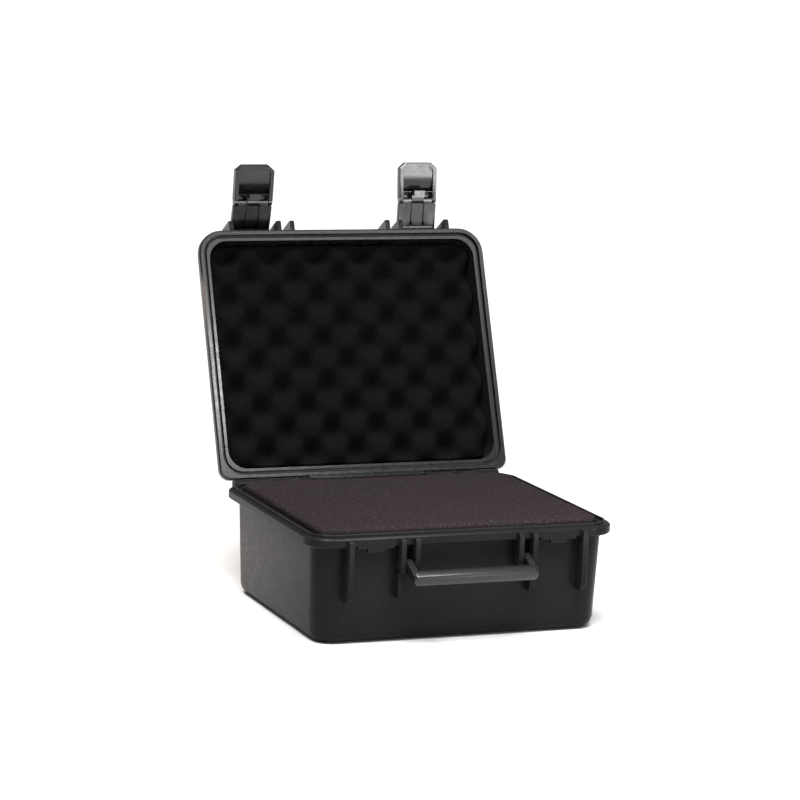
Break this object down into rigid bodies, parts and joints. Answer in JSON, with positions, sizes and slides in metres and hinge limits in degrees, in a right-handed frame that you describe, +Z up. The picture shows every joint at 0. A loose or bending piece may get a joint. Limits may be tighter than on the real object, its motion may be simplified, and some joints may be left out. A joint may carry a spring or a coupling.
{
  "type": "hard equipment case",
  "caption": "Moulded hard case, open, with foam liners, a hinged lid, swinging two-piece latches and a swing handle.",
  "frame": {"origin": "centre of the base's flat underside", "axes": "+X along the width, -Y towards the front with latches and handle, +Z up"},
  "size_m": [0.33, 0.4371, 0.4363],
  "materials": {
    "shell_plastic": "black moulded polypropylene, fine satin grain, worn bright on the rim edges",
    "latch_plastic": "black semi-gloss moulded nylon",
    "handle_plastic": "black semi-gloss moulded polypropylene",
    "pin_steel": "plain steel pin",
    "seal_rubber": "matt black seal cord",
    "base_foam": "dark grey-brown open-cell block foam with light speckles",
    "lid_foam": "charcoal egg-crate foam"
  },
  "bodies": {
    "base": {"base_shell": "shell_plastic", "base_foam_pad": "base_foam", "base_foam_lower": "base_foam", "base_foam_upper": "base_foam", "hinge_pin_left": "pin_steel", "hinge_pin_right": "pin_steel", "handle_pin_left": "pin_steel", "handle_pin_right": "pin_steel"},
    "lid": {"lid_shell": "shell_plastic", "lid_gasket": "seal_rubber", "lid_foam": "lid_foam", "latch_pin_left": "pin_steel", "latch_pin_right": "pin_steel"},
    "latch_link_left": {"latch_link_left": "latch_plastic", "lever_pin_left": "pin_steel"},
    "latch_link_right": {"latch_link_right": "latch_plastic", "lever_pin_right": "pin_steel"},
    "latch_lever_left": {"latch_lever_left": "latch_plastic"},
    "latch_lever_right": {"latch_lever_right": "latch_plastic"},
    "handle": {"handle": "handle_plastic"}
  },
  "joints": [
    {"name": "lid_hinge", "type": "hinge", "parent": "base", "child": "lid", "pos_m": [0, 0.141, 0.109], "axis": [1, 0, 0], "range_deg": [0, 111.86]},
    {"name": "latch_left", "type": "hinge", "parent": "lid", "child": "latch_link_left", "pos_m": [-0.0982, 0.26783, 0.36121], "axis": [1, 0, 0], "range_deg": [-69.5, 53.4]},
    {"name": "latch_right", "type": "hinge", "parent": "lid", "child": "latch_link_right", "pos_m": [0.0982, 0.26783, 0.36121], "axis": [1, 0, 0], "range_deg": [-58, 64.9]},
    {"name": "lever_left", "type": "hinge", "parent": "latch_link_left", "child": "latch_lever_left", "pos_m": [-0.0982, 0.25953, 0.39418], "axis": [1, 0, 0], "range_deg": [-61.3, 8.7]},
    {"name": "lever_right", "type": "hinge", "parent": "latch_link_right", "child": "latch_lever_right", "pos_m": [0.0982, 0.26626, 0.39518], "axis": [1, 0, 0], "range_deg": [-63.2, 6.8]},
    {"name": "handle_swing", "type": "hinge", "parent": "base", "child": "handle", "pos_m": [0, -0.135, 0.08], "axis": [1, 0, 0], "range_deg": [-56, 62]}
  ]
}
